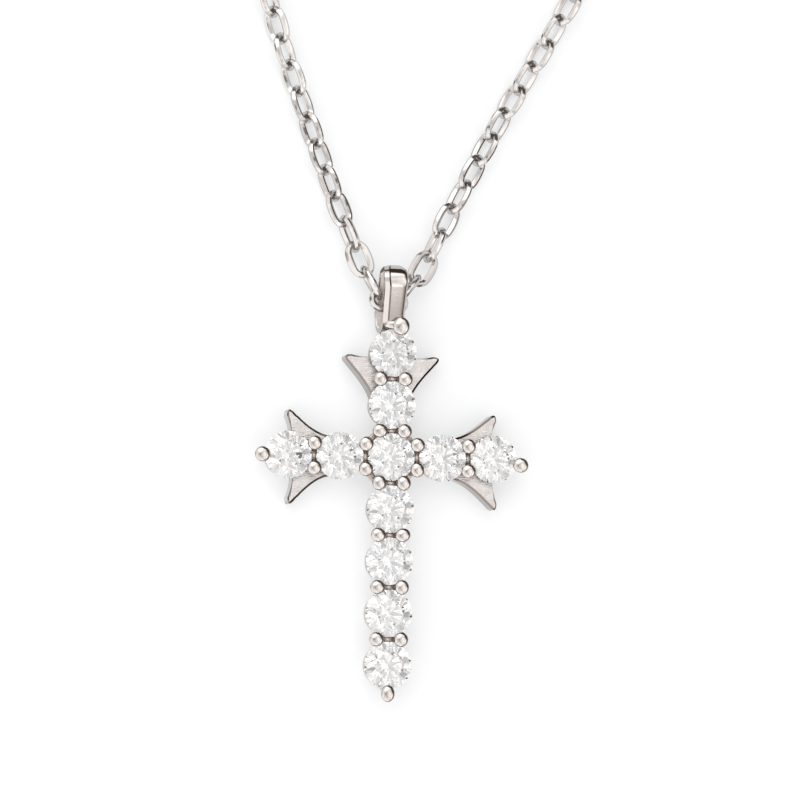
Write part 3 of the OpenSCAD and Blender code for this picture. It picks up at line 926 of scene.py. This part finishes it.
class PENDANT_OT_prongs(bpy.types.Operator):
    """Builds the pairs of ball prongs between the stones and the single ones at the arms' ends"""

    bl_idname = "pendant.prongs"
    bl_label = "Ball prongs"

    def execute(self, context):
        casting, _, finishes, _ = settings(context)
        ball_z = mm(casting.bead_z)
        ball = shape_mesh(ball_shape, mm(casting.bead_d), ball_z)
        post = shape_mesh(post_shape, mm(casting.post_d), ball_z)
        bracket = shape_mesh(bevelled_box, BRACKET, BLOCK_EDGE)
        dice = random.Random(11)
        bm = bmesh.new()

        def set_prong(spot, inward, turn=0.0, oval=1.0, grow=1.0):
            """A ball with its post, which leans out from a foot that stands inward of the ball."""
            oval += dice.uniform(-0.05, 0.05)
            turned = at(spot.x, spot.y, 0, turn + dice.uniform(-0.3, 0.3))
            set_shape(bm, ball, turned @ Matrix.Diagonal((grow / oval, grow * oval, 1, 1)))
            leaning = Matrix.Identity(4)
            leaning[0][2], leaning[1][2] = -inward.x / ball_z, -inward.y / ball_z
            set_shape(bm, post, at(spot.x + inward.x, spot.y + inward.y) @ leaning)

        for arm, way, turn, steps in ARM_STEPS:
            on_arm = at(0, 0, 0, turn)
            for step in range(steps):
                for side in (-1, 1):
                    spot = Vector(((step + 0.5) * PITCH, side * mm(casting.bead_spread) / 2, 0))
                    set_prong(on_arm @ spot, on_arm @ Vector((0, -PAIR_LEAN * side, 0)), turn, 1.01)
            extra_turn, inset, grow = END_BEADS[arm]
            bend = turn + radians(extra_turn)
            middle = way * steps * PITCH
            towards = Vector((cos(bend), sin(bend)))
            out = STONE_R + mm(casting.end_bead_out) - inset
            set_prong(middle + towards * out, towards * -END_LEAN, bend, 0.95, grow)
            foot = middle + towards * BRACKET_OUT
            set_shape(bm, bracket, at(foot.x, foot.y, mm(casting.rim_z) - BLOCK_DROP, bend))
        silver = polished_silver(finishes, "bead_silver", 1.6, 0.0025, rough=1.3, shade=(0.99, 0.98, 0.97))
        add_casting(bm, "ball_prongs", silver)
        return {"FINISHED"}


def horn_part(face):
    """Which of the horns' finishes a face has: brushed face, wall or bevel with painted shade, or plain
    polished left end.
    """
    if face.normal.z > 0.97:
        return 0
    if face.normal.z > 0.3:
        return 2
    return 3 if face.normal.x < -0.9 and face.center.x < -3 * MM else 1


class PENDANT_OT_horns(bpy.types.Operator):
    """Builds the pairs of pointed horns at the top arm and the side arms"""

    bl_idname = "pendant.horns"
    bl_label = "Horns"

    def execute(self, context):
        casting, _, finishes, _ = settings(context)
        edge = mm(casting.horn_edge)
        bm = bmesh.new()
        for arm, _, turn, steps in ARM_STEPS:
            if arm == "down":
                continue
            which = "top" if arm == "up" else "side"
            back, root, hollow, lean = (
                getattr(casting, f"{which}_horn_{size}") for size in ("back", "root", "hollow", "lean")
            )
            for side, shift in zip((1, -1), TIP_SHIFTS[arm]):
                outline = horn_outline(casting, steps, mm(back), mm(root), hollow, mm(lean), shift)
                lid = lid_outline(*outline, edge)
                horn = shape_mesh(horn_shape, sum(outline, []), lid, mm(casting.horn_t), edge)
                set_shape(bm, horn, at(0, 0, 0, turn) @ Matrix.Diagonal((1, side, 1, 1)))
        piece = add_casting(bm, "horns", satin_silver(finishes, "satin_silver"))
        # Only the flat faces are brushed; the walls and bevels are polished. Walls and bevels are darkened
        # as painted shade, the bevels most, which draws dark lines round the faces; the left end walls of
        # the side horns keep the plain polish.
        for name, shade in (
            ("horn_wall_painted_shade", (0.45, 0.43, 0.41)),
            ("horn_bevel_painted_shade", (0.4, 0.37, 0.35)),
            ("horn_end_silver", (1, 1, 1)),
        ):
            piece.data.materials.append(polished_silver(finishes, name, 1.4, shade=shade))
        for polygon in piece.data.polygons:
            polygon.material_index = horn_part(polygon)
        return {"FINISHED"}


class PENDANT_OT_bail(bpy.types.Operator):
    """Builds the tapered bail with its bevelled left edge"""

    bl_idname = "pendant.bail"
    bl_label = "Bail"

    def execute(self, context):
        casting, _, finishes, _ = settings(context)
        bm = bmesh.new()
        build_bail(bm, casting)
        outside = polished_silver(finishes, "bail_silver", 0.8, 0.006)
        piece = add_casting(bm, "bail_loop", outside, crisp=radians(20))
        # The inside is left as it was cast, duller than the outside, and its colour is lightened half again
        # as painted light. The left shoulder by the crown is darkened as painted shade.
        inside = {"rough": 4, "metallic": 0.2, "shade": (1.5, 1.48, 1.46)}
        piece.data.materials.append(polished_silver(finishes, "bail_inside_painted_light", 2, 0.02, **inside))
        shoulder = {"rough": 2, "shade": (0.46, 0.4, 0.35)}
        piece.data.materials.append(polished_silver(finishes, "bail_shoulder_painted_shade", 3, 0.03, **shoulder))
        middle_y = BAIL_TOP_Y - mm(casting.bail_crown_r) - MIDDLE_DROP
        middle = Vector((0, middle_y, mm(casting.bail_depth) / 2)) * MM
        for polygon in piece.data.polygons:
            if polygon.normal.x < -0.8 and polygon.center.y > (BAIL_TOP_Y - SHOULDER_RUN) * MM:
                polygon.material_index = 2
            elif polygon.normal.dot(polygon.center - middle) < 0:
                polygon.material_index = 1
        return {"FINISHED"}


class PENDANT_OT_stones(bpy.types.Operator):
    """Gives the cut stones their clear finish"""

    bl_idname = "pendant.stones"
    bl_label = "Stones"

    def execute(self, context):
        finishes = settings(context)[2]
        clear = clear_stone(finishes.stone, "clear_stone")
        # The top stone by the bail is drawn with a greyer copy of the same clear stone: painted shade.
        greyer = clear_stone(darker(finishes.stone, 0.88), "clear_stone_painted_shade")
        for name in STONES:
            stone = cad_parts[name]
            stone.data.materials.clear()
            stone.data.materials.append(greyer if name == "stone_up_2" else clear)
        return {"FINISHED"}


class PENDANT_OT_chain(bpy.types.Operator):
    """Lays the chain's links along the frame's route, finely near the bail"""

    bl_idname = "pendant.chain"
    bl_label = "Chain"

    def execute(self, context):
        _, sizes, finishes, _ = settings(context)
        wire_w = mm(sizes.wire_w)
        section = mm(sizes.pitch) + 2 * wire_w, mm(sizes.link_w), mm(sizes.belly), wire_w, mm(sizes.wire_h)
        fine, plain = (shape_mesh(link_shape, *section, *steps) for steps in (FINE_STEPS, PLAIN_STEPS))
        near, right, left = lay_links(sizes)
        bright = {"metallic": 0.92, "shade": (1.05, 1.07, 1.08)}
        silver = polished_silver(finishes, "chain_silver", 1.0, 0.005, **bright)
        seen = near + right[:FINE_LINKS] + left[:FINE_LINKS]
        for name, shape, links, nodes in (
            ("chain_by_the_bail", fine, seen, ["chain_left", "chain_right"]),
            ("chain_round_right", plain, right[FINE_LINKS:], ["chain_back_right"]),
            ("chain_round_left", plain, left[FINE_LINKS:], ["chain_back_left"]),
        ):
            bm = bmesh.new()
            for link in links:
                set_shape(bm, shape, link_matrix(*link))
            add_piece(bm, name, silver, nodes, "chain_silver", crisp=radians(30 if shape is fine else 60))
        return {"FINISHED"}


class PENDANT_OT_clasp(bpy.types.Operator):
    """Gives the clasp and the jump ring their finish"""

    bl_idname = "pendant.clasp"
    bl_label = "Clasp and jump ring"

    def execute(self, context):
        silver = polished_silver(settings(context)[2], "clasp_silver", 0.6)
        for name in ("clasp", "jump_ring"):
            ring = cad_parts[name]
            ring.data.materials.clear()
            ring.data.materials.append(silver)
        return {"FINISHED"}


# Half the width of the surface, in metres.
SURFACE_HALF = 1.5
# The light of the room: heights, as sines, each with its colour.
STOPS = (
    (0.0, (0.03, 0.02, 0.014)),
    (0.14, (0.05, 0.036, 0.027)),
    (0.26, (0.2, 0.17, 0.15)),
    (0.4, (0.36, 0.335, 0.315)),
    (0.47, (0.5, 0.475, 0.455)),
    (0.54, (0.9, 0.88, 0.865)),
    (0.66, (1, 0.99, 0.985)),
    (0.86, (0.92, 0.91, 0.905)),
    (0.95, (0.76, 0.75, 0.745)),
    (1.0, (0.72, 0.71, 0.705)),
)
# The cards in the room: direction, how far from it in degrees each starts and is full, and colour. They are
# a lamp high behind the top, the dark front of the camera, two pale low cards on the left, two dark gaps
# behind the top and on the right, and a pale card below.
CARDS = (
    ((-0.2, 0.58, 0.79), 27, 13, (1.5, 1.49, 1.48)),
    ((-0.166, -0.053, 0.985), 7, 3, (0.1, 0.09, 0.085)),
    ((-0.70, -0.63, 0.34), 36, 30, (0.85, 0.83, 0.815)),
    ((-0.71, 0.6, 0.37), 34, 22, (0.7, 0.685, 0.675)),
    ((0.45, 0.82, 0.34), 27, 21, (0.03, 0.022, 0.017)),
    ((0.83, 0.39, 0.41), 30, 21, (0.06, 0.045, 0.036)),
    ((0, 0, -1), 78, 60, (0.6, 0.59, 0.58)),
)


class PENDANT_OT_studio(bpy.types.Operator):
    """Sets up the surface, the soft light and the camera"""

    bl_idname = "pendant.studio"
    bl_label = "Studio"

    def execute(self, context):
        studio = settings(context)[3]
        self.surface(studio)
        self.light(context, studio)
        self.camera(context, studio)
        context.scene.view_settings.view_transform = "Standard"
        return {"FINISHED"}

    def surface(self, studio):
        bm = bmesh.new()
        bmesh.ops.create_grid(bm, x_segments=1, y_segments=1, size=SURFACE_HALF)
        surface = add_object("surface", mesh_of(bm, "surface"))
        surface.data.materials.append(white_surface(studio, "surface_white"))

    def light(self, context, studio):
        """Soft boxes half-way up all round, a greyer ceiling and a dim warm room below them."""
        world = bpy.data.worlds.new("studio_light")
        context.scene.world = world
        tree = NodeTree(world)
        ways = tree.add("TexCoord").outputs["Generated"]
        # The dim band stands higher behind the top of the cross than in front of its foot.
        tilt, way = studio.band_tilt, studio.band_way
        upright = Vector((-sin(tilt) * cos(way), -sin(tilt) * sin(way), cos(tilt)))
        ramp = tree.add("ValToRGB", {"Fac": tree.along(ways, upright)})
        elements = ramp.color_ramp.elements
        for end, (_, colour) in zip(elements, (STOPS[0], STOPS[-1])):
            end.color = (*colour, 1)
        for position, colour in STOPS[1:-1]:
            elements.new(position).color = (*colour, 1)
        # The soft boxes are uneven, as cloth lit from behind is.
        cloth = tree.add("TexNoise", {"Vector": ways, "Scale": studio.cloth, "Detail": 1.5}).outputs["Fac"]
        uneven = {0: ramp.outputs["Color"], "Scale": tree.spread(cloth, 0.6, 1.1, 0.38, 0.6)}
        colour = tree.add("VectorMath", uneven, operation="SCALE").outputs[0]
        for way, outer, inner, level in CARDS:
            near = tree.along(ways, Vector(way).normalized())
            start, full = cos(radians(outer)), cos(radians(inner))
            edge = tree.spread(near, 0, 1, start, full, interpolation_type="SMOOTHSTEP")
            colour = tree.mix(edge, colour, level)
        room = tree.add("Background", {"Color": colour, "Strength": studio.sky})
        tree.add("OutputWorld", {"Surface": room.outputs[0]})

    def camera(self, context, studio):
        back = Vector((-sin(studio.tilt_left), -sin(studio.tilt_below), 0))
        back.z = sqrt(1 - back.length_squared)
        across = Vector((0, 1, 0)).cross(back).normalized()
        upward = back.cross(across)
        right = across * cos(studio.lean) + upward * sin(studio.lean)
        up = upward * cos(studio.lean) - across * sin(studio.lean)
        target = Vector((0, 0, studio.aim_z)) + right * studio.shot_right + up * studio.shot_up
        data = bpy.data.cameras.new("camera")
        data.lens = studio.lens
        data.clip_start = 0.01
        data.clip_end = 10
        camera = add_object("camera", data)
        turn = Matrix((right, up, back)).transposed().to_4x4()
        camera.matrix_world = Matrix.Translation(target + back * studio.distance) @ turn
        context.scene.camera = camera


OPERATORS = (
    PENDANT_OT_cups,
    PENDANT_OT_prongs,
    PENDANT_OT_horns,
    PENDANT_OT_bail,
    PENDANT_OT_stones,
    PENDANT_OT_chain,
    PENDANT_OT_clasp,
    PENDANT_OT_studio,
)


class PENDANT_PT_panel(bpy.types.Panel):
    """Buttons and settings of the pendant"""

    bl_idname = "PENDANT_PT_panel"
    bl_label = "Cross pendant"
    bl_space_type = "VIEW_3D"
    bl_region_type = "UI"
    bl_category = "Pendant"

    def draw(self, context):
        layout = self.layout
        for operator in OPERATORS:
            layout.operator(operator.bl_idname)
        for group in settings(context):
            box = layout.box()
            for name in group.__annotations__:
                box.prop(group, name)


GROUPS = {
    "pendant_casting": CastingSizes,
    "pendant_chain": ChainSizes,
    "pendant_finishes": Finishes,
    "pendant_studio": StudioSetup,
}


def register():
    for group in GROUPS.values():
        bpy.utils.register_class(group)
    for name, group in GROUPS.items():
        setattr(bpy.types.Scene, name, PointerProperty(type=group))
    for operator in OPERATORS:
        bpy.utils.register_class(operator)
    bpy.utils.register_class(PENDANT_PT_panel)


def unregister():
    bpy.utils.unregister_class(PENDANT_PT_panel)
    for operator in reversed(OPERATORS):
        bpy.utils.unregister_class(operator)
    for name, group in GROUPS.items():
        delattr(bpy.types.Scene, name)
        bpy.utils.unregister_class(group)


def main():
    register()
    for operator in OPERATORS:
        group, name = operator.bl_idname.split(".")
        getattr(getattr(bpy.ops, group), name)()


if __name__ == "__main__":
    main()
